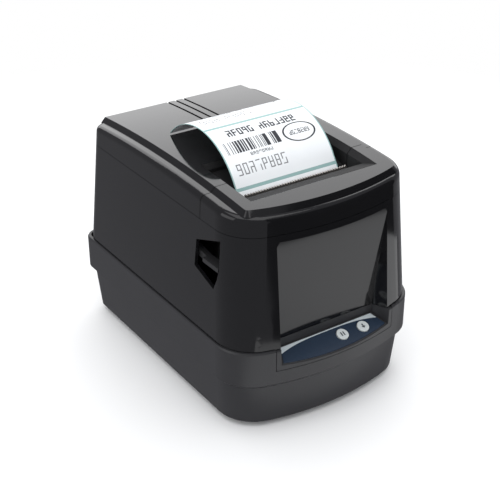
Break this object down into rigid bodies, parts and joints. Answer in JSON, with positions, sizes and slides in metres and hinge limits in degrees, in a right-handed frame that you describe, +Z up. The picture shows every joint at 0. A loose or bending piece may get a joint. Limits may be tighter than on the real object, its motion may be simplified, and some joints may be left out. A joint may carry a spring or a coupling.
{
  "type": "thermal label printer",
  "caption": "Desktop clamshell thermal label printer with a hinged roll lid, tear bar, recessed front bay, key panel and side release levers.",
  "frame": {"origin": "centre of the footprint on the table, under the feet", "axes": "+Z up, +Y towards the back, +X to the right seen from the front"},
  "size_m": [0.148, 0.216, 0.1742],
  "materials": {
    "gloss_black": "polished, piano black",
    "satin_black": "fine satin grain",
    "inner_black": "matt moulded",
    "overlay": "printed film",
    "key_grey": "satin",
    "light_pipe": "clear",
    "steel": "bright",
    "tear_steel": "toothed, satin",
    "aluminium": "extruded",
    "ceramic": "glazed",
    "rubber": "matt",
    "gear_white": "acetal",
    "paper": "coated label stock",
    "card": "wound card",
    "board_green": "solder mask",
    "component": "moulded"
  },
  "bodies": {
    "root": {"base_tub": "satin_black", "rubber_feet": "rubber", "main_housing": "gloss_black", "front_top_bezel": "gloss_black", "control_panel": "satin_black", "panel_overlay": "overlay", "status_lights": "light_pipe", "button_board": "board_green", "case_screws": "steel", "roll_bucket": "inner_black", "side_plate_left": "steel", "side_plate_right": "steel", "head_bracket": "steel", "head_pivot_pin": "steel", "head_springs": "steel", "tear_bar": "tear_steel", "stepper_motor": "steel", "gear_stud": "steel", "main_board": "board_green", "power_capacitors": "component", "board_chips": "component", "usb_socket": "steel", "power_jack": "component", "power_switch_body": "component", "hinge_pins": "steel", "web_guide": "inner_black", "gap_sensor": "component", "lid_switch": "component", "label_web": "paper", "latch_spring": "steel"},
    "lid": {"roll_lid": "gloss_black", "platen_carrier": "inner_black", "platen_bushings": "gear_white", "label_strip": "paper"},
    "platen": {"platen_roller": "rubber", "platen_shaft": "steel", "platen_gear": "gear_white"},
    "reduction": {"reduction_gear": "gear_white"},
    "rotor": {"motor_pinion": "steel"},
    "print_head": {"thermal_head": "ceramic", "head_heatsink": "aluminium"},
    "release": {"release_lever_left": "inner_black", "release_lever_right": "inner_black", "latch_shaft": "steel", "latch_hook_left": "steel", "latch_hook_right": "steel"},
    "roll": {"label_roll": "paper", "roll_core": "card"},
    "guide_left": {"roll_guide_left": "inner_black"},
    "guide_right": {"roll_guide_right": "inner_black"},
    "pinion": {"guide_pinion": "gear_white"},
    "pause_key": {"pause_button": "key_grey"},
    "feed_key": {"feed_button": "key_grey"},
    "rocker": {"power_rocker": "component"}
  },
  "joints": [
    {"name": "lid_hinge", "type": "hinge", "parent": "root", "child": "lid", "pos_m": [0, 0.09, 0.142], "axis": [-1, 0, 0], "range_deg": [0, 80]},
    {"name": "platen_spin", "type": "hinge", "parent": "lid", "child": "platen", "pos_m": [0, -0.0422, 0.134], "axis": [1, 0, 0], "continuous": true},
    {"name": "reduction_spin", "type": "hinge", "parent": "root", "child": "reduction", "pos_m": [0, -0.0422, 0.118], "axis": [1, 0, 0], "continuous": true},
    {"name": "motor_spin", "type": "hinge", "parent": "root", "child": "rotor", "pos_m": [0, -0.05774, 0.103], "axis": [1, 0, 0], "continuous": true},
    {"name": "head_tilt", "type": "hinge", "parent": "root", "child": "print_head", "pos_m": [0, -0.053, 0.122], "axis": [1, 0, 0], "range_deg": [0, 2.5], "stiffness_Nm_per_rad": 2, "deforming": ["head_springs"]},
    {"name": "release_turn", "type": "hinge", "parent": "root", "child": "release", "pos_m": [0, -0.021, 0.1127], "axis": [-1, 0, 0], "range_deg": [0, 16], "stiffness_Nm_per_rad": 0.3},
    {"name": "roll_spin", "type": "hinge", "parent": "root", "child": "roll", "pos_m": [0, 0.034, 0.093], "axis": [1, 0, 0], "continuous": true},
    {"name": "guide_left_slide", "type": "slide", "parent": "root", "child": "guide_left", "axis": [-1, 0, 0], "range_m": [0, 0.009], "stiffness_N_per_m": 60},
    {"name": "guide_right_slide", "type": "slide", "parent": "root", "child": "guide_right", "axis": [1, 0, 0], "range_m": [0, 0.009], "stiffness_N_per_m": 60},
    {"name": "guide_pinion_turn", "type": "hinge", "parent": "root", "child": "pinion", "pos_m": [0, 0.034, 0.0477], "axis": [0, 0, 1], "range_deg": [-95, 5]},
    {"name": "pause_press", "type": "slide", "parent": "root", "child": "pause_key", "axis": [0, 0.3714, -0.9285], "range_m": [0, 0.0008], "stiffness_N_per_m": 400},
    {"name": "feed_press", "type": "slide", "parent": "root", "child": "feed_key", "axis": [0, 0.3714, -0.9285], "range_m": [0, 0.0008], "stiffness_N_per_m": 400},
    {"name": "power_rock", "type": "hinge", "parent": "root", "child": "rocker", "pos_m": [-0.028, 0.0994, 0.022], "axis": [0, 0, 1], "range_deg": [-4.5, 4.5]}
  ],
  "couplings": [
    {"joint": "platen_spin", "follows": "roll_spin", "ratio": 6.4615},
    {"joint": "reduction_spin", "follows": "roll_spin", "ratio": -4.3077},
    {"joint": "motor_spin", "follows": "roll_spin", "ratio": 12.308},
    {"joint": "guide_right_slide", "follows": "guide_left_slide", "ratio": 1},
    {"joint": "guide_pinion_turn", "follows": "guide_left_slide", "rad_per_m": -166.67}
  ]
}
